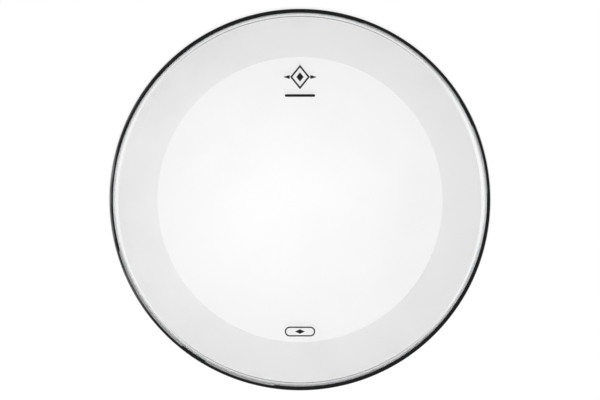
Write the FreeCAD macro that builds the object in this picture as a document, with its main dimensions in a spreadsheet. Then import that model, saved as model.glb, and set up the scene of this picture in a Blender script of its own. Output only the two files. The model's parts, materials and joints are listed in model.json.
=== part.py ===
"""Bass drum head: a clear film with a formed collar, potted into a rolled aluminium flesh hoop.

The head lies face up. The origin is the middle of the hoop's base, +Z points out of the playing side,
and all lengths are in millimetres. Every piece is turned about the Z axis.
"""
import FreeCAD, Part
import math
import os

import Sketcher

# Driving dimensions: name in the sheet, value, what it is.
DRIVING_DIMENSIONS = [
    ("nominal_diameter", 558.8, "outside diameter of the drum shell that the head fits (22 in)"),
    ("shell_clearance", 2.0, "gap all round between the shell and the hoop's bore"),
    ("hoop_width", 8.6, "hoop, from its bore to its outer wall"),
    ("hoop_height", 9.5, "hoop, from its base to its top land"),
    ("hoop_wall", 0.8, "thickness of the aluminium strip"),
    ("inner_leg_height", 6.5, "top of the leg beside the shell, above the base"),
    ("mouth_gap", 0.5, "slot between the inner leg and the curled lip"),
    ("lip_drop", 2.0, "how far the curled lip hangs below the top land"),
    ("shoulder_radius", 1.4, "rounding of the outer top edge"),
    ("lip_radius", 1.0, "rounding of the curled lip"),
    ("base_radius", 1.5, "rounding of both bottom edges"),
    ("film_thickness", 0.254, "drum film, 10 mil polyester"),
    ("crown_height", 16.0, "playing surface above the hoop's base"),
    ("crest_inset", 2.4, "collar's crest, inside the shell's outside diameter"),
    ("crest_bend_radius", 5.5, "bend from the playing surface into the collar"),
    ("brim_lift", 3.0, "film's brim above the floor of the channel"),
    ("brim_clearance", 0.7, "film's brim to the outer wall of the channel"),
    ("anchor_hole_size", 2.2, "punched hole in the brim, across its corners"),
    ("anchor_hole_count", 28, "punched holes round the brim"),
    ("resin_setback", 0.4, "resin's surface below the top of the inner leg"),
    ("ring_width", 63.5, "muffle ring, from the shell's outside diameter to its inner edge (2.5 in)"),
    ("ring_thickness", 0.19, "muffle ring, 7.5 mil polyester"),
    ("bond_thickness", 0.1, "adhesive between the film and the muffle ring"),
    ("bond_width", 8.0, "adhesive band round the muffle ring"),
    ("bond_inset", 1.5, "adhesive band to the start of the crest bend"),
    ("cut_overrun", 1.0, "how far a cutting shape passes the faces it cuts"),
]

# What a sketch's constraints refer to: its own base line and axis, and the points of a line.
# The origin is the start of the base line.
BASE_LINE_INDEX = -1
AXIS_INDEX = -2
START_INDEX = 1
END_INDEX = 2


class Size:
    """A length worked out from the sheet: the expression that binds it and its present value."""

    def __init__(self, text, value):
        self.text = text
        self.value = value

    def joined(self, sign, other, value):
        """The two sizes in one bracketed expression."""
        return Size(f"({self.text} {sign} {other.text})", value)

    def __add__(self, other):
        return self.joined("+", other, self.value + other.value)

    def __sub__(self, other):
        return self.joined("-", other, self.value - other.value)

    def __mul__(self, other):
        return self.joined("*", other, self.value * other.value)

    def __truediv__(self, other):
        return self.joined("/", other, self.value / other.value)

    def half(self):
        """Half of this size."""
        return self / TWO

    def root(self):
        """The square root of this size."""
        return Size(f"sqrt({self.text})", math.sqrt(self.value))


MINUS_ONE = Size("(-1)", -1.0)
ZERO = Size("0", 0.0)
ONE = Size("1", 1.0)
TWO = Size("2", 2.0)

# Directions in a profile: away from the axis first, upwards second.
INWARDS = (MINUS_ONE, ZERO)
OUTWARDS = (ONE, ZERO)
UP = (ZERO, ONE)
DOWN = (ZERO, MINUS_ONE)


class Corner:
    """A corner of a turned profile: its distance from the axis and its height."""

    def __init__(self, name, radius, height):
        self.name = name
        self.radius = radius
        self.height = height

    def moved(self, suffix, direction, distance):
        """The corner that lies a distance away in a direction."""
        away, up = direction
        return Corner(f"{self.name}_{suffix}", self.radius + away * distance, self.height + up * distance)

    def rounded(self, rounding, before, after, half_turn_tangent=ONE):
        """Three corners on the arc that rounds this one: its start, its middle and its end.

        before and after point from the corner along its two sides. half_turn_tangent is the tangent of
        half the angle that the profile turns through, which is one at a square corner.
        """
        tangent_run = rounding * half_turn_tangent
        secant = (ONE + half_turn_tangent * half_turn_tangent).root()
        middle_run = rounding * (secant - ONE) * secant / (half_turn_tangent * TWO)
        inside = (before[0] + after[0], before[1] + after[1])
        return [
            self.moved("start", before, tangent_run),
            self.moved("middle", inside, middle_run),
            self.moved("end", after, tangent_run),
        ]

    def point(self):
        """The corner's place in the sketch."""
        return FreeCAD.Vector(self.radius.value, self.height.value, 0)


def make_sheet(doc):
    """The sheet of driving dimensions, one row each, and the sizes that stand for its cells."""
    sheet = doc.addObject("Spreadsheet::Sheet", "dims")
    sizes = {}
    for row, (alias, value, meaning) in enumerate(DRIVING_DIMENSIONS, start=1):
        sheet.set(f"A{row}", meaning)
        sheet.set(f"B{row}", str(value))
        sheet.setAlias(f"B{row}", alias)
        sizes[alias] = Size(f"dims.{alias}", float(value))
    doc.recompute()
    return sizes


def origin_feature(body, role):
    """One of a body's own origin planes or axes."""
    return next(feature for feature in body.Origin.OriginFeatures if feature.Role == role)


def new_body(doc, label):
    """An empty body with its label."""
    body = doc.addObject("PartDesign::Body", label)
    body.Label = label
    return body


def new_sketch(body, name, plane):
    """An empty sketch on one of the body's origin planes."""
    sketch = body.newObject("Sketcher::SketchObject", name)
    sketch.AttachmentSupport = [(origin_feature(body, plane), "")]
    sketch.MapMode = "FlatFace"
    return sketch


def bind(sketch, constraint, name, size):
    """Adds a dimension to a sketch and binds it to the sheet."""
    index = sketch.addConstraint(constraint)
    sketch.renameConstraint(index, name)
    sketch.setExpression(f"Constraints.{name}", size.text)


def place_corner(sketch, line, corner):
    """Dimensions a line's first point from the origin, or puts it on the axis or the base line."""
    origin = (BASE_LINE_INDEX, START_INDEX)
    corner_point = (line, START_INDEX)
    if corner.radius.value == 0:
        sketch.addConstraint(Sketcher.Constraint("PointOnObject", *corner_point, AXIS_INDEX))
    else:
        across = Sketcher.Constraint("DistanceX", *origin, *corner_point, corner.radius.value)
        bind(sketch, across, f"{corner.name}_radius", corner.radius)
    if corner.height.value == 0:
        sketch.addConstraint(Sketcher.Constraint("PointOnObject", *corner_point, BASE_LINE_INDEX))
    else:
        upright = Sketcher.Constraint("DistanceY", *origin, *corner_point, corner.height.value)
        bind(sketch, upright, f"{corner.name}_height", corner.height)


def turned_profile(body, name, corners):
    """Turns a closed outline, given by its corners in order, through a full circle about the Z axis."""
    sketch = new_sketch(body, f"{name}_profile", "XZ_Plane")
    lines = []
    for corner, following in zip(corners, corners[1:] + corners[:1]):
        lines.append(sketch.addGeometry(Part.LineSegment(corner.point(), following.point())))
    for before, after, corner in zip(lines[-1:] + lines[:-1], lines, corners):
        sketch.addConstraint(Sketcher.Constraint("Coincident", before, END_INDEX, after, START_INDEX))
        place_corner(sketch, after, corner)
    turn = body.newObject("PartDesign::Revolution", f"{name}_turn")
    turn.Profile = sketch
    turn.ReferenceAxis = (sketch, ["V_Axis"])
    turn.Angle = 360


class HoopSizes:
    """Radii and heights of the hoop, which the film, the resin and the shell all follow."""

    def __init__(self, dims):
        self.bore = dims["nominal_diameter"].half() + dims["shell_clearance"]
        self.outer = self.bore + dims["hoop_width"]
        self.channel_inner = self.bore + dims["hoop_wall"]
        self.channel_outer = self.outer - dims["hoop_wall"]
        self.lip = self.channel_inner + dims["mouth_gap"]
        self.lip_inside = self.lip + dims["hoop_wall"]
        self.floor = dims["hoop_wall"]
        self.leg_top = dims["inner_leg_height"]
        self.top = dims["hoop_height"]
        self.ceiling = self.top - dims["hoop_wall"]
        self.lip_end = self.top - dims["lip_drop"]
        self.mouth_radius = self.channel_inner + dims["mouth_gap"].half()
        self.mouth_height = (self.leg_top + self.lip_end).half()


class FilmSizes:
    """Radii and heights of the film, from its crown to the brim inside the hoop.

    The collar is a straight cone from the crest through the middle of the hoop's mouth to the brim.
    """

    def __init__(self, dims, hoop):
        thickness = dims["film_thickness"]
        self.top = dims["crown_height"]
        self.underside = self.top - thickness
        self.crest = dims["nominal_diameter"].half() - dims["crest_inset"]
        run = hoop.mouth_radius + thickness.half() - self.crest
        fall = self.top - hoop.mouth_height
        slant = (run * run + fall * fall).root()
        self.collar_direction = (run / slant, fall * MINUS_ONE / slant)
        self.half_turn_tangent = (slant - run) / fall
        self.outer_bend = dims["crest_bend_radius"]
        self.bend_start = self.crest - self.outer_bend * self.half_turn_tangent
        self.brim_base = hoop.floor + dims["brim_lift"]
        self.brim_top = self.brim_base + thickness
        self.brim_edge = hoop.channel_outer - dims["brim_clearance"]
        self.foot = self.crest + (self.top - self.brim_top) * run / fall
        self.foot_inside = self.foot - thickness * self.half_turn_tangent

    def crest_bend(self, name, depth, before, after):
        """The corners that take a face through the crest bend, at a depth under the playing surface."""
        corner = Corner(name, self.crest - depth * self.half_turn_tangent, self.top - depth)
        return corner.rounded(self.outer_bend - depth, before, after, self.half_turn_tangent)


def make_flesh_hoop(doc, dims, hoop):
    """Rolled channel: two legs, a flat floor, and a top land that curls over into a lip."""
    body = new_body(doc, "flesh_hoop")
    corners = [
        Corner("leg_inside", hoop.bore, hoop.leg_top),
        *Corner("bore_foot", hoop.bore, ZERO).rounded(dims["base_radius"], UP, OUTWARDS),
        *Corner("outer_foot", hoop.outer, ZERO).rounded(dims["base_radius"], INWARDS, UP),
        *Corner("shoulder", hoop.outer, hoop.top).rounded(dims["shoulder_radius"], DOWN, INWARDS),
        *Corner("lip_top", hoop.lip, hoop.top).rounded(dims["lip_radius"], OUTWARDS, DOWN),
        Corner("lip_end", hoop.lip, hoop.lip_end),
        Corner("lip_end_inside", hoop.lip_inside, hoop.lip_end),
        Corner("lip_root", hoop.lip_inside, hoop.ceiling),
        *Corner("ceiling_outer", hoop.channel_outer, hoop.ceiling).rounded(
            dims["shoulder_radius"] - dims["hoop_wall"], INWARDS, DOWN
        )[::2],
        Corner("floor_outer", hoop.channel_outer, hoop.floor),
        Corner("floor_inner", hoop.channel_inner, hoop.floor),
        Corner("leg_outside", hoop.channel_inner, hoop.leg_top),
    ]
    turned_profile(body, "hoop", corners)
    return body


def make_drum_film(doc, dims, film):
    """Clear film: flat crown, collar and a flat brim with punched holes that the resin flows through."""
    body = new_body(doc, "drum_film")
    collar = film.collar_direction
    corners = [
        Corner("crown_middle", ZERO, film.top),
        Corner("crown_underside", ZERO, film.underside),
        *film.crest_bend("crest_inside", dims["film_thickness"], INWARDS, collar),
        Corner("foot_inside", film.foot_inside, film.brim_base),
        Corner("brim_underside", film.brim_edge, film.brim_base),
        Corner("brim_edge", film.brim_edge, film.brim_top),
        Corner("foot", film.foot, film.brim_top),
        *film.crest_bend("crest", ZERO, collar, INWARDS),
    ]
    turned_profile(body, "film", corners)
    doc.recompute()

    overrun = dims["cut_overrun"]
    hole = body.newObject("PartDesign::SubtractivePrism", "anchor_hole")
    hole.AttachmentSupport = [(origin_feature(body, "XY_Plane"), "")]
    hole.MapMode = "FlatFace"
    hole.Polygon = 6
    hole.setExpression("Circumradius", dims["anchor_hole_size"].half().text)
    hole.setExpression("Height", (dims["film_thickness"] + overrun + overrun).text)
    hole.setExpression("AttachmentOffset.Base.x", (film.foot + film.brim_edge).half().text)
    hole.setExpression("AttachmentOffset.Base.z", (film.brim_base - overrun).text)
    doc.recompute()

    holes = body.newObject("PartDesign::PolarPattern", "anchor_holes")
    holes.Originals = [hole]
    holes.Axis = (origin_feature(body, "Z_Axis"), [""])
    holes.Angle = 360
    holes.setExpression("Occurrences", dims["anchor_hole_count"].text)
    body.Tip = holes
    return body


def make_edge_resin(doc, dims, hoop, drum_film):
    """Resin poured into the channel: it fills the space round the film's brim and through its holes."""
    blank = new_body(doc, "resin_blank")
    level = hoop.leg_top - dims["resin_setback"]
    corners = [
        Corner("floor_inner", hoop.channel_inner, hoop.floor),
        Corner("floor_outer", hoop.channel_outer, hoop.floor),
        Corner("level_outer", hoop.channel_outer, level),
        Corner("level_inner", hoop.channel_inner, level),
    ]
    turned_profile(blank, "resin", corners)
    doc.recompute()
    resin = doc.addObject("Part::Cut", "edge_resin")
    resin.Label = "edge_resin"
    resin.Base = blank
    resin.Tool = drum_film
    return resin


def make_muffle_ring(doc, dims, film):
    """Ring of film under the outer part of the playing surface, which ends half way round the crest bend."""
    body = new_body(doc, "muffle_ring")
    inner = dims["nominal_diameter"].half() - dims["ring_width"]
    face_depth = dims["film_thickness"] + dims["bond_thickness"]
    back_depth = face_depth + dims["ring_thickness"]
    collar = film.collar_direction
    corners = [
        Corner("inner_back", inner, film.top - back_depth),
        *film.crest_bend("back_bend", back_depth, INWARDS, collar)[:2],
        *film.crest_bend("face_bend", face_depth, collar, INWARDS)[1:],
        Corner("inner_face", inner, film.top - face_depth),
    ]
    turned_profile(body, "ring", corners)
    return body


def make_ring_adhesive(doc, dims, film):
    """Flat band of adhesive that holds the muffle ring to the film just inside the crest bend."""
    body = new_body(doc, "ring_adhesive")
    outer = film.bend_start - dims["bond_inset"]
    inner = outer - dims["bond_width"]
    base = film.underside - dims["bond_thickness"]
    corners = [
        Corner("inner_base", inner, base),
        Corner("outer_base", outer, base),
        Corner("outer_top", outer, film.underside),
        Corner("inner_top", inner, film.underside),
    ]
    turned_profile(body, "bond", corners)
    return body


def check_objects(doc, pieces):
    """Stops if a feature failed or a piece isn't one valid solid."""
    for item in doc.Objects:
        if "Invalid" in item.State or "Error" in item.State:
            raise RuntimeError(f"{item.Name} failed: {item.State}")
    for piece in pieces:
        shape = piece.Shape
        if shape.isNull() or not shape.isValid() or len(shape.Solids) != 1:
            raise RuntimeError(f"{piece.Label} isn't one valid solid")


def main():
    """Builds the head and writes one STEP file for each piece."""
    doc = FreeCAD.newDocument("drum_head")
    dims = make_sheet(doc)
    hoop = HoopSizes(dims)
    film = FilmSizes(dims, hoop)

    drum_film = make_drum_film(doc, dims, film)
    doc.recompute()
    pieces = [
        make_flesh_hoop(doc, dims, hoop),
        drum_film,
        make_edge_resin(doc, dims, hoop, drum_film),
        make_muffle_ring(doc, dims, film),
        make_ring_adhesive(doc, dims, film),
    ]
    doc.recompute()
    check_objects(doc, pieces)

    os.makedirs("parts", exist_ok=True)
    for piece in pieces:
        box = piece.Shape.BoundBox
        print(f"{piece.Label}: volume {piece.Shape.Volume:.1f}, heights {box.ZMin:.2f} to {box.ZMax:.2f}")
        piece.Shape.exportStep(f"parts/{piece.Label}.step")


main()
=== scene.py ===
"""The drum head as it looks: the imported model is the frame, and the pieces that show are remade around it.

The rolled hoop, the film, the muffle ring and its adhesive are turned anew with their full roundings, the
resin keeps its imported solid, and two plain marks are printed on the film. Lengths are in metres, +Z is the
playing side and +Y is the upper edge of the photograph.
"""

from __future__ import annotations

import json
import logging
import math
from dataclasses import dataclass
from enum import Enum
from functools import reduce

import bmesh
import bpy
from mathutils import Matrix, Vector


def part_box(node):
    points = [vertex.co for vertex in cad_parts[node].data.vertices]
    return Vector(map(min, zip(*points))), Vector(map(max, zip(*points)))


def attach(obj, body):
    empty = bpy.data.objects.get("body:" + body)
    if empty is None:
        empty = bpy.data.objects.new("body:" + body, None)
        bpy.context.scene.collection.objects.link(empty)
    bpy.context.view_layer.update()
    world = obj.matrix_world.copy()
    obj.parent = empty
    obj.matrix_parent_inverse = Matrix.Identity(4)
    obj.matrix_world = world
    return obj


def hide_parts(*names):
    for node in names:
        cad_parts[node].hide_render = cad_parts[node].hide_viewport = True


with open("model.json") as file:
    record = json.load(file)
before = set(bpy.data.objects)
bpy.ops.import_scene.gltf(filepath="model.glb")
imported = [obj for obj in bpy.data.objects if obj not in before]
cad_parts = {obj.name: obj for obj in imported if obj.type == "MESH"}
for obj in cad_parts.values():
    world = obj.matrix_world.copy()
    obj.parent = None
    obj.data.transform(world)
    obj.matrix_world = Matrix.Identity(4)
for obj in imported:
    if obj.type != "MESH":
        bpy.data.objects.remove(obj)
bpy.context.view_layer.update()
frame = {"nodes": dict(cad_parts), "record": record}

MM = 0.001
BODY = "root"
PHOTO_SIZE = (600, 400)

FULL_TURN = 2.0 * math.pi
TURN_STEPS = 360
MERGE_REACH = 0.001 * MM
LONG_EDGE_MARGINS = 4.0
CRISP_DEGREES = 40.0
INK_CRISP_DEGREES = 30.0
UPRIGHT_DEGREES = 90.0

# The film lies an ink's depth under its packed top, the ink bites into it, and plies lie a gap apart
INK_DEPTH = 0.02 * MM
INK_BITE = 0.005 * MM
PLY_GAP = 0.01 * MM

Colour = tuple[float, float, float, float]
Point = tuple[float, float]
Mesh = bmesh.types.BMesh
Corner = bmesh.types.BMVert
Socket = bpy.types.NodeSocket
Value = float | tuple[float, ...] | Socket

RISE: Point = (0.0, 1.0)
FALL: Point = (1.0, 0.0)

log = logging.getLogger("drum_head")


# Node trees

def grey(level: float) -> Colour:
    """Returns a neutral colour."""
    return level, level, level, 1.0


def shifted(span: Point, middle: float) -> Point:
    """Returns a range moved along by a length."""
    return span[0] + middle, span[1] + middle


@dataclass(frozen=True)
class Grain:
    """A noise pattern.

    Its stretch is the length that a radian round the axis counts for, where the grain follows the turning.
    """

    scale: float
    detail: float
    stretch: float = 1.0


class NodeGraph:
    """A node tree with short calls for adding nodes and joining them."""

    def __init__(self, tree: bpy.types.NodeTree) -> None:
        """Takes over the tree of a material or a world and empties it."""
        self.tree = tree
        self.tree.nodes.clear()

    def add(
        self,
        kind: str,
        inputs: dict[str | int, Value] | None = None,
        **settings: object,
    ) -> bpy.types.Node:
        """Adds one node.

        Args:
            kind: Blender's name for the node type.
            inputs: Input sockets by name or index, each with a fixed value or the socket that feeds it.
            settings: Properties of the node itself.

        Returns:
            The new node.
        """
        node = self.tree.nodes.new(kind)
        for name, setting in settings.items():
            setattr(node, name, setting)
        for key, value in (inputs or {}).items():
            if isinstance(value, Socket):
                self.tree.links.new(value, node.inputs[key])
            else:
                node.inputs[key].default_value = value
        return node

    def math(self, operation: str, first: Value, second: Value = 0.0) -> Socket:
        """Returns the result of a Math node on one or two values."""
        return self.add("ShaderNodeMath", {0: first, 1: second}, operation=operation).outputs[0]

    def product(self, *factors: Value) -> Value:
        """Returns the product of some values."""
        return reduce(lambda first, second: self.math("MULTIPLY", first, second), factors)

    def vector(self, operation: str, first: Value, second: Value = (0.0, 0.0, 0.0)) -> bpy.types.Node:
        """Returns a Vector Math node on one or two vectors."""
        return self.add("ShaderNodeVectorMath", {0: first, 1: second}, operation=operation)

    def spread(self, value: Value, source: Point, target: Point) -> Socket:
        """Returns a value carried smoothly from one range to another."""
        inputs = {0: value, 1: source[0], 2: source[1], 3: target[0], 4: target[1]}
        return self.add("ShaderNodeMapRange", inputs, interpolation_type="SMOOTHSTEP").outputs[0]

    def noise(self, where: Value, grain: Grain) -> Socket:
        """Returns a noise value from 0 to 1 at a place."""
        inputs = {"Vector": where, "Scale": grain.scale, "Detail": grain.detail}
        return self.add("ShaderNodeTexNoise", inputs).outputs[0]

    def blend(self, share: Value, first: Value, second: Value) -> Socket:
        """Returns a colour between two others."""
        inputs = {0: share, 6: first, 7: second}
        return self.add("ShaderNodeMix", inputs, data_type="RGBA").outputs[2]

    def place(self) -> Socket:
        """Returns the place on the piece, in the frame's own coordinates."""
        return self.add("ShaderNodeTexCoord").outputs["Object"]

    def axes(self, where: Value) -> list[Socket]:
        """Returns the three parts of a vector."""
        return list(self.add("ShaderNodeSeparateXYZ", {0: where}).outputs)

    def radius(self) -> Socket:
        """Returns the distance from the axis."""
        level = self.vector("MULTIPLY", self.place(), (1.0, 1.0, 0.0)).outputs[0]
        return self.vector("LENGTH", level).outputs["Value"]

    def angle(self, way: Value, middle: Vector) -> Socket:
        """Returns the angle in radians between a direction and a fixed one."""
        along = self.vector("DOT_PRODUCT", way, tuple(middle)).outputs["Value"]
        return self.math("ARCCOSINE", self.math("MINIMUM", along, 1.0))

    def around(self, seam_angle: float, stretch: float) -> Socket:
        """Gives a place as radius, way round the axis and height, for a grain that follows the turning.

        Args:
            seam_angle: Angle about the axis, in radians, at which the way round starts and ends.
            stretch: Length that one radian of the way round counts for; a short one stretches the grain.

        Returns:
            The socket with the three values as a vector.
        """
        swing = (0.0, 0.0, math.pi - seam_angle)
        turned = self.add("ShaderNodeMapping", {"Vector": self.place(), "Rotation": swing}).outputs[0]
        aside, ahead, height = self.axes(turned)
        level = self.add("ShaderNodeCombineXYZ", {0: aside, 1: ahead}).outputs[0]
        radius = self.vector("LENGTH", level).outputs["Value"]
        way = self.math("MULTIPLY", self.math("ARCTAN2", ahead, aside), stretch)
        return self.add("ShaderNodeCombineXYZ", {0: radius, 1: way, 2: height}).outputs[0]

    def bump(
        self,
        height: Value,
        depth: float,
        strength: float = 1.0,
        normal: Socket | None = None,
    ) -> Socket:
        """Bends a normal by a height pattern.

        Args:
            height: The pattern.
            depth: Length that one unit of the pattern stands for.
            strength: Share of the bend that is used.
            normal: The normal to bend, where it isn't the surface's own.

        Returns:
            The socket with the bent normal.
        """
        inputs = {"Height": height, "Strength": strength, "Distance": depth}
        if normal is not None:
            inputs["Normal"] = normal
        return self.add("ShaderNodeBump", inputs).outputs[0]

    def show(self, shader: bpy.types.Node) -> None:
        """Joins a shader to the material's output."""
        self.add("ShaderNodeOutputMaterial", {"Surface": shader.outputs[0]})


def new_material(name: str) -> tuple[bpy.types.Material, NodeGraph]:
    """Makes an empty material.

    Args:
        name: The material's name.

    Returns:
        The material and its node graph.
    """
    material = bpy.data.materials.new(name)
    material.use_nodes = True
    return material, NodeGraph(material.node_tree)


# Finishes

@dataclass(frozen=True)
class PaintedReflectionStretch:
    """A stretch on top of the hoop's lip with a painted reflection as matt grey metal, in degrees from +X
    towards +Y.
    """

    first: float
    last: float
    outer_radius: float
    end_fade: float = 1.0
    edge_fade: float = 0.3 * MM

    def share(self, graph: NodeGraph, radius: Socket, way: Socket) -> Value:
        """Gives the stretch's share of painted reflection, which fades at both ends and at its outer edge.

        Args:
            graph: The metal's node graph.
            radius: Distance from the axis.
            way: Angle about the axis in radians, from minus to plus half a turn with its seam at +X.

        Returns:
            The socket with the share.
        """
        fade = math.radians(self.end_fade)
        begin = math.radians(self.first) - math.pi
        end = math.radians(self.last) - math.pi
        rise = graph.spread(way, shifted((-fade, fade), begin), RISE)
        fall = graph.spread(way, shifted((-fade, fade), end), FALL)
        inner = graph.spread(radius, shifted((-self.edge_fade, self.edge_fade), self.outer_radius), FALL)
        return graph.product(rise, fall, inner)


@dataclass(frozen=True)
class PolishedStrip:
    """Aluminium strip polished along its length, with rolling lines and the waves of a rolled ring.

    The top twists slowly about one radius and dishes inside another. Stretches on top of the lip carry a
    painted reflection as matt grey metal, and the cut edge on the inner leg is matt.
    """

    seam_angle: float
    leg_radius: float
    leg_height: float
    bright: Colour = (0.86, 0.86, 0.87, 1.0)
    dull: Colour = (0.74, 0.74, 0.76, 1.0)
    tone_range: Point = (0.3, 0.7)
    gloss: Point = (0.02, 0.07)
    gloss_range: Point = (0.25, 0.75)
    lines: Grain = Grain(scale=2600.0, detail=3.0, stretch=0.004)
    line_share: float = 0.6
    line_strength: float = 0.6
    line_depth: float = 0.004 * MM
    stains: Grain = Grain(scale=22.0, detail=4.0)
    waves: Grain = Grain(scale=14.0, detail=2.0, stretch=0.29)
    twist: float = 0.06
    twist_middle: float = 0.75
    twist_radius: float = 286.1 * MM
    dish: float = 13.0
    dish_radius: float = 287.3 * MM
    # Painted reflection: the grey of the matt stretches, lit by the lamp in place of the room's reflection.
    painted_reflection_grey: Colour = grey(0.27)
    # Painted reflection: matt grey stretches on top of the lip, at listed angles, stand in for the lip's
    # grey reflections of the room.
    painted_reflection: tuple[PaintedReflectionStretch, ...] = (
        PaintedReflectionStretch(first=2.0, last=23.0, outer_radius=284.6 * MM),
        PaintedReflectionStretch(first=32.0, last=70.0, outer_radius=284.6 * MM),
        PaintedReflectionStretch(first=196.0, last=231.0, outer_radius=285.6 * MM),
        PaintedReflectionStretch(first=240.0, last=262.0, outer_radius=285.0 * MM),
    )
    painted_reflection_from: Point = (282.8 * MM, 283.0 * MM)
    streaks: Grain = Grain(scale=900.0, detail=3.0, stretch=0.02)
    streak_range: Point = (0.3, 0.6)
    streak_share: Point = (0.5, 1.0)
    cut: Colour = grey(0.88)
    cut_heights: Point = (-0.5 * MM, -0.3 * MM)
    cut_radii: Point = (-0.25 * MM, 0.05 * MM)
    matt_metallic: float = 0.1
    matt_roughness: float = 0.35

    def lean(self, graph: NodeGraph) -> Socket:
        """Gives the height by which the strip's slow twist and its dish beside the lip tip its top.

        Args:
            graph: The metal's node graph.

        Returns:
            The socket with the height.
        """
        radius, way, _ = graph.axes(graph.around(self.seam_angle, self.waves.stretch))
        along = graph.add("ShaderNodeCombineXYZ", {0: way}).outputs[0]
        tip = graph.math("SUBTRACT", graph.noise(along, self.waves), self.twist_middle)
        arm = graph.math("SUBTRACT", radius, self.twist_radius)
        inwards = graph.math("MAXIMUM", graph.math("SUBTRACT", self.dish_radius, radius), 0.0)
        dished = graph.product(inwards, inwards, self.dish / 2.0)
        return graph.math("ADD", graph.product(tip, arm, self.twist), dished)

    def painted_reflection_share(self, graph: NodeGraph) -> Value:
        """Gives the stretches on top of the lip with a painted reflection, as matt grey metal streaked along
        the strip.

        Args:
            graph: The metal's node graph.

        Returns:
            The socket with the share of painted reflection.
        """
        radius, way, _ = graph.axes(graph.around(0.0, 1.0))
        painted_reflection: Value = 0.0
        for stretch in self.painted_reflection:
            painted_reflection = graph.math("MAXIMUM", painted_reflection, stretch.share(graph, radius, way))
        upper = graph.spread(radius, self.painted_reflection_from, RISE)
        streaks = graph.noise(graph.around(self.seam_angle, self.streaks.stretch), self.streaks)
        return graph.product(painted_reflection, upper, graph.spread(streaks, self.streak_range, self.streak_share))

    def cut_edge(self, graph: NodeGraph) -> Value:
        """Gives the strip's cut edge on top of the inner leg, which no polishing wheel reaches.

        Args:
            graph: The metal's node graph.

        Returns:
            The socket with the share of matt metal.
        """
        height = graph.axes(graph.place())[2]
        upper = graph.spread(height, shifted(self.cut_heights, self.leg_height), RISE)
        inner = graph.spread(graph.radius(), shifted(self.cut_radii, self.leg_radius), FALL)
        return graph.product(upper, inner)

    def material(self) -> bpy.types.Material:
        """Makes the hoop's metal.

        Returns:
            The material.
        """
        material, graph = new_material("polished_hoop_aluminium")
        lines = graph.noise(graph.around(self.seam_angle, self.lines.stretch), self.lines)
        stains = graph.noise(graph.place(), self.stains)
        wavy = graph.bump(self.lean(graph), depth=1.0)
        rubbed = graph.math(
            "ADD",
            graph.math("MULTIPLY", lines, self.line_share),
            graph.math("MULTIPLY", stains, 1.0 - self.line_share),
        )
        # Painted reflection: matt grey stretches on top of the lip.
        painted_reflection = self.painted_reflection_share(graph)
        cut = self.cut_edge(graph)
        matt = graph.math("MAXIMUM", painted_reflection, cut)
        metal = graph.blend(graph.spread(rubbed, self.tone_range, RISE), self.bright, self.dull)
        polish = graph.spread(rubbed, self.gloss_range, self.gloss)
        surface = graph.add("ShaderNodeBsdfPrincipled", {
            "Base Color": graph.blend(cut, graph.blend(painted_reflection, metal, self.painted_reflection_grey), self.cut),
            "Metallic": graph.spread(matt, RISE, (1.0, self.matt_metallic)),
            "Roughness": graph.math("ADD", polish, graph.math("MULTIPLY", matt, self.matt_roughness)),
            "Normal": graph.bump(lines, self.line_depth, self.line_strength, wavy),
        })
        graph.show(surface)
        return material


@dataclass(frozen=True)
class ClearFilm:
    """Clear polyester film with faint haze, rub marks and slow ripples."""

    name: str
    bright: Colour = grey(0.945)
    dull: Colour = grey(0.925)
    refraction: float = 1.52
    haze: Grain = Grain(scale=9.0, detail=5.0)
    haze_range: Point = (0.4, 0.75)
    gloss: Point = (0.0, 0.05)
    gloss_range: Point = (0.35, 0.8)
    ripples: Grain = Grain(scale=7.0, detail=1.0)
    ripple_depth: float = 0.02 * MM

    def tint(self, graph: NodeGraph, haze: Socket) -> Socket:
        """Returns the film's colour, a little duller where it is hazy."""
        return graph.blend(graph.spread(haze, self.haze_range, RISE), self.bright, self.dull)

    def material(self) -> bpy.types.Material:
        """Makes a clear film that lets lamp light through to what lies under it.

        Returns:
            The material.
        """
        material, graph = new_material(self.name)
        place = graph.place()
        haze = graph.noise(place, self.haze)
        surface = graph.add("ShaderNodeBsdfPrincipled", {
            "Base Color": self.tint(graph, haze),
            "Roughness": graph.spread(haze, self.gloss_range, self.gloss),
            "IOR": self.refraction,
            "Transmission Weight": 1.0,
            "Normal": graph.bump(graph.noise(place, self.ripples), self.ripple_depth),
        })
        through = graph.add("ShaderNodeBsdfTransparent")
        both = graph.add("ShaderNodeMixShader", {
            0: graph.add("ShaderNodeLightPath").outputs["Is Shadow Ray"],
            1: surface.outputs[0],
            2: through.outputs[0],
        })
        graph.show(both)
        return material


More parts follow.
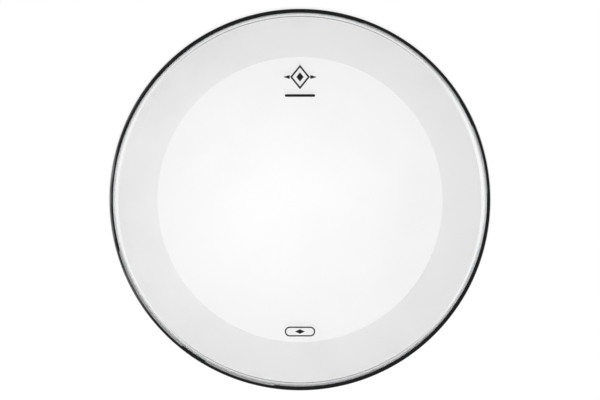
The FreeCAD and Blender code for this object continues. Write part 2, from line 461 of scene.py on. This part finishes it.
@dataclass(frozen=True)
class FormedFilmWithPaintedShade(ClearFilm):
    """Clear film drawn out by forming: clearer down the collar, with a painted shade line where the crest
    bends.
    """

    collar: Colour = grey(1.0)
    collar_start: Point = (278.3 * MM, 279.1 * MM)
    # Painted shade: a dark line at the crest bend stands in for the bend's dark reflection of the room.
    painted_crest_shade: Colour = grey(0.28)
    painted_shade_from: Point = (276.6 * MM, 276.9 * MM)
    painted_shade_to: Point = (277.8 * MM, 278.4 * MM)
    painted_shade_facing: Point = (0.5, 1.0)

    def tint(self, graph: NodeGraph, haze: Socket) -> Socket:
        """Gives the film's colour with its clearer collar and a painted shade line at the crest bend that
        fades out towards +X and -X.

        Args:
            graph: The film's node graph.
            haze: The film's haze.

        Returns:
            The socket with the colour.
        """
        radius = graph.radius()
        across = graph.math("ABSOLUTE", graph.math("DIVIDE", graph.axes(graph.place())[1], radius))
        begin = graph.spread(radius, self.painted_shade_from, RISE)
        end = graph.spread(radius, self.painted_shade_to, FALL)
        # Painted shade at the crest bend: full towards +Y and -Y, fading out towards +X and -X, where the
        # side light falls.
        painted_crest_shade = graph.product(begin, end, graph.spread(across, self.painted_shade_facing, RISE))
        collar = graph.spread(radius, self.collar_start, RISE)
        formed = graph.blend(collar, super().tint(graph, haze), self.collar)
        return graph.blend(painted_crest_shade, formed, self.painted_crest_shade)


HEAD_FILM = FormedFilmWithPaintedShade("clear_drum_film")
RING_FILM = ClearFilm("clear_ring_film", bright=grey(0.955), dull=grey(0.935))
RING_ADHESIVE = ClearFilm("clear_adhesive", bright=grey(1.0), dull=grey(0.99), refraction=1.02)


@dataclass(frozen=True)
class CastResin:
    """Poured resin, pale and slightly cloudy."""

    clear: Colour = (0.78, 0.78, 0.77, 1.0)
    cloudy: Colour = (0.68, 0.68, 0.67, 1.0)
    clouds: Grain = Grain(scale=120.0, detail=4.0)
    gloss: Point = (0.15, 0.4)
    gloss_range: Point = (0.3, 0.7)
    depth_share: float = 0.25
    depth: float = 2.0 * MM
    bubbles: Grain = Grain(scale=900.0, detail=1.0)
    bubble_strength: float = 0.3
    bubble_depth: float = 0.05 * MM

    def material(self) -> bpy.types.Material:
        """Makes the resin of the hoop's channel.

        Returns:
            The material.
        """
        material, graph = new_material("cast_edge_resin")
        clouds = graph.noise(graph.place(), self.clouds)
        bubbles = graph.noise(graph.place(), self.bubbles)
        surface = graph.add("ShaderNodeBsdfPrincipled", {
            "Base Color": graph.blend(clouds, self.clear, self.cloudy),
            "Roughness": graph.spread(clouds, self.gloss_range, self.gloss),
            "Subsurface Weight": self.depth_share,
            "Subsurface Scale": self.depth,
            "Normal": graph.bump(bubbles, self.bubble_depth, self.bubble_strength),
        })
        graph.show(surface)
        return material


@dataclass(frozen=True)
class PrintInk:
    """Black screen ink, matt with a slightly uneven coat."""

    dense: Colour = grey(0.006)
    thin: Colour = grey(0.03)
    coat: Grain = Grain(scale=700.0, detail=3.0)
    thin_range: Point = (0.45, 0.8)
    gloss: Point = (0.35, 0.6)
    gloss_range: Point = (0.3, 0.7)

    def material(self) -> bpy.types.Material:
        """Makes the ink of the printed marks.

        Returns:
            The material.
        """
        material, graph = new_material("black_screen_ink")
        coat = graph.noise(graph.place(), self.coat)
        surface = graph.add("ShaderNodeBsdfPrincipled", {
            "Base Color": graph.blend(graph.spread(coat, self.thin_range, RISE), self.dense, self.thin),
            "Roughness": graph.spread(coat, self.gloss_range, self.gloss),
        })
        graph.show(surface)
        return material


@dataclass(frozen=True)
class PaleFloor:
    """A white floor that shows as plain white and still takes a soft shadow."""

    paper: Colour = grey(0.82)
    shade: Colour = grey(0.78)
    grain: Grain = Grain(scale=40.0, detail=2.0)
    glow: float = 1.053
    glow_share: float = 0.8
    plain_from: Point = (0.6, 2.5)

    def material(self) -> bpy.types.Material:
        """Makes the floor's paper, which glows for the camera and through the film.

        Returns:
            The material.
        """
        material, graph = new_material("pale_floor")
        grain = graph.noise(graph.place(), self.grain)
        matt = graph.add("ShaderNodeBsdfDiffuse", {"Color": graph.blend(grain, self.paper, self.shade)})
        glow = graph.add("ShaderNodeEmission", {"Strength": self.glow})
        rays = graph.add("ShaderNodeLightPath").outputs
        seen = graph.math("MAXIMUM", rays["Is Camera Ray"], rays["Is Transmission Ray"])
        share = graph.spread(graph.radius(), self.plain_from, (self.glow_share, 1.0))
        both = graph.add("ShaderNodeMixShader", {
            0: graph.math("MULTIPLY", seen, share),
            1: matt.outputs[0],
            2: glow.outputs[0],
        })
        graph.show(both)
        return material


# Shaping

def outline(points: list[Point], closed: bool) -> tuple[Mesh, list[Corner]]:
    """Starts a mesh as a wire outline in the half plane of radius and height.

    Args:
        points: Corners as radius and height.
        closed: Whether the last corner joins the first.

    Returns:
        The mesh and its corners in order.
    """
    mesh = bmesh.new()
    corners = [mesh.verts.new((radius, 0.0, height)) for radius, height in points]
    followers = corners[1:] + corners[:1] if closed else corners[1:]
    for corner, follower in zip(corners, followers):
        mesh.edges.new((corner, follower))
    return mesh, corners


def round_corners(mesh: Mesh, corners: list[Corner], reach: float, steps: int) -> None:
    """Rounds corners of an outline.

    Args:
        mesh: The mesh that holds the outline.
        corners: The corners to round.
        reach: Length that each rounding takes off the edges beside its corner.
        steps: Number of facets in each rounding.
    """
    bmesh.ops.bevel(mesh, geom=corners, offset=reach, offset_type="OFFSET", segments=steps, profile=0.5,
                    affect="VERTICES", material=-1)


def hold_flats(mesh: Mesh, margin: float) -> None:
    """Adds a corner near both ends of each long straight edge, so that flats stay flat beside roundings.

    Args:
        mesh: The mesh that holds the outline.
        margin: Distance of the new corners from the ends.
    """
    for edge in [edge for edge in mesh.edges if edge.calc_length() > LONG_EDGE_MARGINS * margin]:
        first, last = edge.verts
        length = edge.calc_length()
        rest, _ = bmesh.utils.edge_split(edge, first, margin / length)
        rest = rest if last in rest.verts else edge
        bmesh.utils.edge_split(rest, last, margin / (length - margin))


def turn(mesh: Mesh) -> None:
    """Spins a mesh's wire outline a full turn about the axis and faces it outwards.

    Args:
        mesh: The mesh that holds the outline.
    """
    bmesh.ops.spin(mesh, geom=mesh.verts[:] + mesh.edges[:], cent=(0.0, 0.0, 0.0), axis=(0.0, 0.0, 1.0),
                   angle=FULL_TURN, steps=TURN_STEPS, use_merge=True)
    bmesh.ops.remove_doubles(mesh, verts=mesh.verts[:], dist=MERGE_REACH)
    bmesh.ops.recalc_face_normals(mesh, faces=mesh.faces[:])


def piece(
    name: str,
    mesh: Mesh,
    material: bpy.types.Material,
    crisp_degrees: float = CRISP_DEGREES,
) -> bpy.types.Object:
    """Makes an object of a finished mesh, dresses it and lets it ride on the frame.

    Args:
        name: The object's name.
        mesh: The finished mesh, which is used up.
        material: Its material.
        crisp_degrees: Edges that turn more than this stay crisp.

    Returns:
        The object.
    """
    data = bpy.data.meshes.new(name)
    mesh.to_mesh(data)
    mesh.free()
    data.materials.append(material)
    data.shade_smooth()
    data.set_sharp_from_angle(angle=math.radians(crisp_degrees))
    made = bpy.data.objects.new(name, data)
    bpy.context.scene.collection.objects.link(made)
    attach(made, BODY)
    log.info("%s: %d faces", name, len(data.polygons))
    return made


# The head's own pieces

@dataclass
class FleshHoop:
    """The rolled channel that holds the film: inner leg, floor, outer wall and a top curled into a lip."""

    outer_radius: float
    bore_radius: float
    height: float
    wall: float = 0.8 * MM
    leg_height: float = 6.5 * MM
    mouth_gap: float = 0.5 * MM
    lip_end: float = 7.5 * MM
    shoulder_rounding: float = 1.4 * MM
    lip_rounding: float = 1.0 * MM
    base_rounding: float = 1.5 * MM
    edge_rounding: float = 0.3 * MM
    rounding_steps: int = 8
    inside_steps: int = 4
    edge_steps: int = 3
    flat_margin: float = 0.1 * MM
    seam_angle: float = math.radians(192.0)

    @property
    def leg_radius(self) -> float:
        """Outer face of the inner leg."""
        return self.bore_radius + self.wall

    @property
    def lip_radius(self) -> float:
        """Inner edge of the curled lip."""
        return self.leg_radius + self.mouth_gap

    @property
    def mouth_radius(self) -> float:
        """Middle of the slot between leg and lip, through which the film enters."""
        return self.lip_radius - self.mouth_gap / 2.0

    @property
    def mouth_height(self) -> float:
        """Height of the slot's middle."""
        return (self.leg_height + self.lip_end) / 2.0

    def build(self, finish: PolishedStrip) -> bpy.types.Object:
        """Turns the hoop and dresses it.

        Args:
            finish: The metal.

        Returns:
            The hoop.
        """
        mesh = self.channel()
        turn(mesh)
        hoop = piece("rolled_flesh_hoop", mesh, finish.material())
        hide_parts("flesh_hoop")
        return hoop

    def channel(self) -> Mesh:
        """Draws the strip's section, from the inner leg round to the lip and back along the inside.

        Returns:
            The mesh with the section as a closed wire.
        """
        outside = self.outer_radius - self.wall
        ceiling = self.height - self.wall
        mesh, corners = outline([
            (self.bore_radius, self.leg_height),
            (self.bore_radius, 0.0),
            (self.outer_radius, 0.0),
            (self.outer_radius, self.height),
            (self.lip_radius, self.height),
            (self.lip_radius, self.lip_end),
            (self.lip_radius + self.wall, self.lip_end),
            (self.lip_radius + self.wall, ceiling),
            (outside, ceiling),
            (outside, self.wall),
            (self.leg_radius, self.wall),
            (self.leg_radius, self.leg_height),
        ], closed=True)
        leg_front, heel, toe, shoulder, lip, lip_front, lip_back, *inside, leg_back = corners
        lip_root, shoulder_inside, toe_inside, heel_inside = inside
        inside_bends = [lip_root, toe_inside, heel_inside]
        cut_edges = [leg_front, leg_back, lip_front, lip_back]
        round_corners(mesh, [heel, toe], self.base_rounding, self.rounding_steps)
        round_corners(mesh, [shoulder], self.shoulder_rounding, self.rounding_steps)
        round_corners(mesh, [lip], self.lip_rounding, self.rounding_steps)
        round_corners(mesh, [shoulder_inside], self.shoulder_rounding - self.wall, self.rounding_steps)
        round_corners(mesh, inside_bends, self.base_rounding - self.wall, self.inside_steps)
        round_corners(mesh, cut_edges, self.edge_rounding, self.edge_steps)
        hold_flats(mesh, self.flat_margin)
        return mesh


@dataclass
class DrumFilm:
    """The clear film: a flat crown, a crest bend, a conical collar and a flat brim held in the resin."""

    crown_height: float
    brim_radius: float
    brim_base: float
    mouth_radius: float
    mouth_height: float
    thickness: float = 0.254 * MM
    crest_radius: float = 277.0 * MM
    crest_rounding: float = 5.5 * MM
    bend_steps: int = 16
    crown_rows: int = 12
    hub_radius: float = 1.0 * MM
    flat_margin: float = 0.2 * MM

    @property
    def fold(self) -> float:
        """Angle that the film turns through at its crest, so that the collar enters the hoop's mouth."""
        run = self.mouth_radius + self.thickness / 2.0 - self.crest_radius
        return math.atan2(self.crown_height - self.mouth_height, run)

    def crest_corner(self, depth: float) -> Point:
        """Returns the sharp corner between crown and collar of a face at a depth under the top."""
        return self.crest_radius - depth * math.tan(self.fold / 2.0), self.crown_height - depth

    def collar_point(self, depth: float, drop: float) -> Point:
        """Returns the point of a collar face that lies a drop below its crest corner."""
        radius, height = self.crest_corner(depth)
        return radius + drop / math.tan(self.fold), height - drop

    def bend_reach(self, depth: float) -> float:
        """Returns how far the crest bend of a face reaches from its corner."""
        return (self.crest_rounding - depth) * math.tan(self.fold / 2.0)

    def half_bend(self, depth: float) -> tuple[Point, Point, float]:
        """Gives the first half of the crest bend of a face.

        Args:
            depth: Depth of the face under the playing surface.

        Returns:
            Its corner, its end and how far its rounding reaches from the corner.
        """
        reach = (self.crest_rounding - depth) * math.tan(self.fold / 4.0)
        corner = (self.crest_radius - self.bend_reach(0.0) + reach, self.crown_height - depth)
        tilt = self.fold / 2.0
        end = (corner[0] + reach * math.cos(tilt), corner[1] - reach * math.sin(tilt))
        return corner, end, reach

    def build(self, finish: ClearFilm) -> bpy.types.Object:
        """Turns the film and dresses it.

        Args:
            finish: The clear film.

        Returns:
            The film.
        """
        mesh = self.section()
        turn(mesh)
        film = piece("formed_drum_film", mesh, finish.material())
        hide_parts("drum_film")
        return film

    def section(self) -> Mesh:
        """Draws the film's section from the axis out along its top and back along its underside.

        Returns:
            The mesh with the section as an open wire.
        """
        drop = self.crown_height - self.brim_base - self.thickness
        foot = self.collar_point(0.0, drop)
        mesh, corners = outline([
            (0.0, self.crown_height),
            self.crest_corner(0.0),
            foot,
            (self.brim_radius, foot[1]),
            (self.brim_radius, self.brim_base),
            self.collar_point(self.thickness, drop),
            self.crest_corner(self.thickness),
            (0.0, self.crown_height - self.thickness),
        ], closed=False)
        crest, crest_back = corners[1], corners[-2]
        round_corners(mesh, [crest], self.bend_reach(0.0), self.bend_steps)
        round_corners(mesh, [crest_back], self.bend_reach(self.thickness), self.bend_steps)
        hold_flats(mesh, self.flat_margin)
        crown = [edge for edge in mesh.edges if min(vert.co.x for vert in edge.verts) < self.hub_radius]
        bmesh.ops.subdivide_edges(mesh, edges=crown, cuts=self.crown_rows)
        return mesh


@dataclass
class MuffleRing:
    """The ply of thinner film under the outer part of the crown, formed through the crest bend with it."""

    film: DrumFilm
    top: float
    inner_radius: float = 215.9 * MM
    thickness: float = 0.18 * MM
    bend_share: float = 0.99
    flat_margin: float = 0.02 * MM

    def build(self, finish: ClearFilm) -> bpy.types.Object:
        """Turns the ring and dresses it.

        Args:
            finish: The clear film.

        Returns:
            The ring.
        """
        depth = self.film.crown_height - self.top
        face_corner, face_end, face_reach = self.film.half_bend(depth)
        back_corner, back_end, back_reach = self.film.half_bend(depth + self.thickness)
        mesh, corners = outline([
            (self.inner_radius, back_corner[1]),
            back_corner,
            back_end,
            face_end,
            face_corner,
            (self.inner_radius, self.top),
        ], closed=True)
        back_bend, face_bend = corners[1], corners[-2]
        round_corners(mesh, [back_bend], self.bend_share * back_reach, self.film.bend_steps)
        round_corners(mesh, [face_bend], self.bend_share * face_reach, self.film.bend_steps)
        hold_flats(mesh, self.flat_margin)
        turn(mesh)
        ring = piece("muffle_ring_ply", mesh, finish.material())
        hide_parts("muffle_ring")
        return ring


@dataclass
class AdhesiveBand:
    """The flat band of adhesive between the film and the muffle ring."""

    outer_radius: float
    base: float
    top: float
    width: float = 8.0 * MM

    def build(self, finish: ClearFilm) -> bpy.types.Object:
        """Turns the band and dresses it.

        Args:
            finish: The clear adhesive.

        Returns:
            The band.
        """
        inner_radius = self.outer_radius - self.width
        mesh, _ = outline([
            (inner_radius, self.base),
            (self.outer_radius, self.base),
            (self.outer_radius, self.top),
            (inner_radius, self.top),
        ], closed=True)
        turn(mesh)
        band = piece("ring_adhesive_band", mesh, finish.material())
        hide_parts("ring_adhesive")
        return band


@dataclass
class EdgeResin:
    """The resin in the hoop's channel, hidden but for a thin line beside the collar."""

    node: str = "edge_resin"

    def dress(self, finish: CastResin) -> None:
        """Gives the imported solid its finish.

        Args:
            finish: The resin.
        """
        resin = frame["nodes"][self.node]
        resin.data.materials.clear()
        resin.data.materials.append(finish.material())
        log.info("%s: packed solid dressed", self.node)


class MarkShape(Enum):
    """The plain shapes that the printed marks are made of."""

    DIAMOND = "diamond"
    PILL = "pill"
    TAPER = "taper"


@dataclass(frozen=True)
class MarkPart:
    """One shape of a printed mark, placed from the mark's middle; a negative width turns a taper round."""

    shape: MarkShape
    centre: Point
    width: float
    height: float
    line: float = 0.0
    tip_share: float = 0.12
    end_share: float = 0.499
    end_steps: int = 10

    def add_to(self, mesh: Mesh, middle: Point) -> None:
        """Adds the shape to a mesh as flat faces, filled or drawn as a line.

        Args:
            mesh: The mark's mesh.
            middle: Place of the mark's middle on the film.
        """
        kept = set(mesh.verts)
        if self.shape is MarkShape.DIAMOND:
            bmesh.ops.create_circle(mesh, cap_ends=True, segments=4, radius=0.5)
        else:
            bmesh.ops.create_grid(mesh, x_segments=1, y_segments=1, size=0.5)
        corners = [vert for vert in mesh.verts if vert not in kept]
        if self.shape is MarkShape.TAPER:
            tip = [vert for vert in corners if vert.co.x > 0.0]
            bmesh.ops.scale(mesh, vec=(1.0, self.tip_share, 1.0), verts=tip)
        bmesh.ops.scale(mesh, vec=(self.width, self.height, 1.0), verts=corners)
        if self.shape is MarkShape.PILL:
            round_corners(mesh, corners, self.end_share * self.height, self.end_steps)
        if self.line > 0.0:
            filled = [face for face in mesh.faces if kept.isdisjoint(face.verts)]
            bmesh.ops.inset_individual(mesh, faces=filled, thickness=self.line, use_even_offset=True)
            bmesh.ops.delete(mesh, geom=filled, context="FACES")
        drawn = [vert for vert in mesh.verts if vert not in kept]
        place = Vector((middle[0] + self.centre[0], middle[1] + self.centre[1], 0.0))
        bmesh.ops.translate(mesh, vec=place, verts=drawn)


UPPER_PLACE: Point = (0.0, 177.5 * MM)
UPPER_PARTS = (
    MarkPart(MarkShape.DIAMOND, centre=(0.0, 8.0 * MM), width=30.0 * MM, height=37.0 * MM, line=2.6 * MM),
    MarkPart(MarkShape.DIAMOND, centre=(0.0, 8.0 * MM), width=11.0 * MM, height=14.0 * MM),
    MarkPart(MarkShape.TAPER, centre=(20.0 * MM, 8.0 * MM), width=9.0 * MM, height=6.0 * MM),
    MarkPart(MarkShape.TAPER, centre=(-20.0 * MM, 8.0 * MM), width=-9.0 * MM, height=6.0 * MM),
    MarkPart(MarkShape.PILL, centre=(0.0, -20.0 * MM), width=46.0 * MM, height=4.0 * MM),
)
LOWER_PLACE: Point = (0.0, -199.6 * MM)
LOWER_PARTS = (
    MarkPart(MarkShape.PILL, centre=(0.0, 0.0), width=46.0 * MM, height=15.0 * MM, line=2.0 * MM),
    MarkPart(MarkShape.DIAMOND, centre=(0.0, 0.0), width=15.0 * MM, height=7.0 * MM),
)


@dataclass
class PrintedMark:
    """A plain ornament in black ink on the film's top."""

    name: str
    middle: Point
    parts: tuple[MarkPart, ...]
    base: float
    top: float

    def build(self, ink: bpy.types.Material) -> bpy.types.Object:
        """Lays the ink down and dresses it.

        Args:
            ink: The ink's material.

        Returns:
            The mark.
        """
        mesh = bmesh.new()
        for part in self.parts:
            part.add_to(mesh, self.middle)
        bmesh.ops.translate(mesh, vec=(0.0, 0.0, self.base), verts=mesh.verts[:])
        raised = bmesh.ops.extrude_face_region(mesh, geom=mesh.faces[:], use_keep_orig=True)
        lifted = [item for item in raised["geom"] if isinstance(item, Corner)]
        bmesh.ops.translate(mesh, vec=(0.0, 0.0, self.top - self.base), verts=lifted)
        bmesh.ops.recalc_face_normals(mesh, faces=mesh.faces[:])
        mark = piece(self.name, mesh, ink, INK_CRISP_DEGREES)
        return mark


# The studio

def direction(azimuth: float, elevation: float) -> Vector:
    """Gives a direction as seen from the head.

    Args:
        azimuth: Way round from +X towards +Y, in degrees.
        elevation: Height above the floor, in degrees.

    Returns:
        The direction as a unit vector.
    """
    swing = math.radians(azimuth)
    rise = math.radians(elevation)
    level = math.cos(rise)
    return Vector((level * math.cos(swing), level * math.sin(swing), math.sin(rise)))


@dataclass(frozen=True)
class SoftGlow:
    """A round patch of light in the room that fades out towards its edge; its angles are in degrees."""

    azimuth: float
    elevation: float
    light: float
    core: float
    reach: float

    def strength(self, graph: NodeGraph, way: Socket) -> Socket:
        """Returns the patch's light by direction."""
        angle = graph.angle(way, direction(self.azimuth, self.elevation))
        return graph.spread(angle, (math.radians(self.core), math.radians(self.reach)), (self.light, 0.0))


@dataclass(frozen=True)
class LowBand:
    """A light low round the room that starts at one elevation and is full at a lower one, in degrees."""

    start: float
    full: float
    light: float

    def strength(self, graph: NodeGraph, from_top: Socket) -> Socket:
        """Returns the band's light by the angle from straight up."""
        span = (math.radians(UPRIGHT_DEGREES - self.start), math.radians(UPRIGHT_DEGREES - self.full))
        return graph.spread(from_top, span, (0.0, self.light))


@dataclass
class Studio:
    """A pale floor under a dark ceiling with soft glows at the camera and to the sides, and one lamp."""

    floor_size: float = 24.0
    floor_drop: float = 0.1 * MM
    glows: tuple[SoftGlow, ...] = (
        SoftGlow(azimuth=0.0, elevation=90.0, light=1.18, core=0.0, reach=7.6),
        SoftGlow(azimuth=180.0, elevation=85.0, light=0.36, core=2.0, reach=6.8),
        SoftGlow(azimuth=8.0, elevation=50.0, light=1.33, core=6.0, reach=22.0),
        SoftGlow(azimuth=176.0, elevation=50.0, light=1.1, core=6.0, reach=22.0),
    )
    ceiling: float = 0.018
    walls: LowBand = LowBand(start=45.0, full=18.0, light=1.0)
    end_walls: float = 0.08
    side_walls: float = 1.0
    facing_range: Point = (0.1, 0.9)
    horizon: LowBand = LowBand(start=20.0, full=10.0, light=0.6)
    lamp_azimuth: float = 275.0
    lamp_elevation: float = 70.0
    lamp_distance: float = 3.0
    lamp_size: float = 1.0
    lamp_watts: float = 80.0

    def build(self, finish: PaleFloor) -> None:
        """Lays the floor and lights it.

        Args:
            finish: The floor's finish.
        """
        self.lay_floor(finish)
        self.light_world()
        self.hang_lamp()

    def lay_floor(self, finish: PaleFloor) -> None:
        """Lays the floor just under the hoop.

        Args:
            finish: The floor's finish.
        """
        mesh = bmesh.new()
        bmesh.ops.create_grid(mesh, x_segments=1, y_segments=1, size=self.floor_size / 2.0)
        bmesh.ops.translate(mesh, vec=(0.0, 0.0, -self.floor_drop), verts=mesh.verts[:])
        data = bpy.data.meshes.new("floor")
        mesh.to_mesh(data)
        mesh.free()
        data.materials.append(finish.material())
        floor = bpy.data.objects.new("floor", data)
        bpy.context.scene.collection.objects.link(floor)

    def light_world(self) -> None:
        """Sets the room's light by direction, and shows the camera plain white in its place."""
        world = bpy.data.worlds.new("studio_room")
        bpy.context.scene.world = world
        world.use_nodes = True
        graph = NodeGraph(world.node_tree)
        way = graph.add("ShaderNodeTexCoord").outputs["Generated"]
        from_top = graph.angle(way, Vector((0.0, 0.0, 1.0)))
        aside = graph.axes(way)[0]
        sideways = graph.math("MULTIPLY", aside, aside)
        facing = graph.spread(sideways, self.facing_range, (self.end_walls, self.side_walls))
        walls = graph.math("MULTIPLY", self.walls.strength(graph, from_top), facing)
        lowest = graph.math("MAXIMUM", walls, self.horizon.strength(graph, from_top))
        room = graph.math("ADD", lowest, self.ceiling)
        for glow in self.glows:
            room = graph.math("ADD", room, glow.strength(graph, way))
        seen = graph.add("ShaderNodeLightPath").outputs["Is Camera Ray"]
        light = graph.add("ShaderNodeBackground", {
            "Color": grey(1.0),
            "Strength": graph.math("MAXIMUM", room, seen),
        })
        graph.add("ShaderNodeOutputWorld", {"Surface": light.outputs[0]})

    def hang_lamp(self) -> None:
        """Hangs a square soft lamp aimed at the head, which polished surfaces don't mirror."""
        lamp = bpy.data.lights.new("key_lamp", "AREA")
        lamp.size = self.lamp_size
        lamp.energy = self.lamp_watts
        hung = bpy.data.objects.new("key_lamp", lamp)
        hung.visible_glossy = False
        hung.visible_transmission = False
        bpy.context.scene.collection.objects.link(hung)
        away = direction(self.lamp_azimuth, self.lamp_elevation)
        hung.location = away * self.lamp_distance
        hung.rotation_euler = away.to_track_quat("Z", "Y").to_euler()


@dataclass
class PhotoCamera:
    """The photograph's view: square on from the playing side, with +Y up."""

    hoop_width: float
    outline_height: float
    hoop_pixels: float = 382.0
    middle_pixels: Point = (300.0, 199.6)
    distance: float = 2.2
    nearest: float = 0.05
    farthest: float = 100.0

    def build(self) -> None:
        """Sets the camera up as the scene's own."""
        pixel = self.hoop_width / self.hoop_pixels
        photo_width, photo_height = PHOTO_SIZE
        lens = bpy.data.cameras.new("photo_camera")
        lens.lens = lens.sensor_width * (self.distance - self.outline_height) / (pixel * photo_width)
        lens.clip_start = self.nearest
        lens.clip_end = self.farthest
        camera = bpy.data.objects.new("photo_camera", lens)
        aside = (photo_width / 2.0 - self.middle_pixels[0]) * pixel
        below = (self.middle_pixels[1] - photo_height / 2.0) * pixel
        camera.location = (aside, below, self.distance)
        bpy.context.scene.collection.objects.link(camera)
        bpy.context.scene.camera = camera


def main() -> None:
    """Builds the head piece by piece, then the studio and the camera."""
    logging.basicConfig(level=logging.INFO, format="%(name)s: %(message)s")
    bpy.context.scene.view_settings.view_transform = "Standard"
    _, hoop_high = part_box("flesh_hoop")
    film_low, film_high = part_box("drum_film")
    _, ring_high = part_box("muffle_ring")
    band_low, band_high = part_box("ring_adhesive")
    bore = next(mount for mount in frame["record"]["mounts"] if mount["name"] == "shell_bore")

    hoop = FleshHoop(outer_radius=hoop_high.x, bore_radius=bore["dims"]["r_mm"] * MM, height=hoop_high.z)
    hoop.build(PolishedStrip(hoop.seam_angle, hoop.leg_radius, hoop.leg_height))
    film = DrumFilm(crown_height=film_high.z - INK_DEPTH, brim_radius=film_high.x, brim_base=film_low.z,
                    mouth_radius=hoop.mouth_radius, mouth_height=hoop.mouth_height)
    film.build(HEAD_FILM)
    EdgeResin().dress(CastResin())

    ring = MuffleRing(film, top=ring_high.z - PLY_GAP)
    ring.build(RING_FILM)
    band = AdhesiveBand(band_high.x, base=band_low.z, top=band_high.z - INK_DEPTH - PLY_GAP)
    band.build(RING_ADHESIVE)

    ink = PrintInk().material()
    ink_base = film.crown_height - INK_BITE
    PrintedMark("upper_printed_mark", UPPER_PLACE, UPPER_PARTS, ink_base, film_high.z).build(ink)
    PrintedMark("lower_printed_mark", LOWER_PLACE, LOWER_PARTS, ink_base, film_high.z).build(ink)

    Studio().build(PaleFloor())
    outline_height = hoop.height - hoop.shoulder_rounding
    PhotoCamera(hoop_width=2.0 * hoop.outer_radius, outline_height=outline_height).build()


if __name__ == "__main__":
    main()
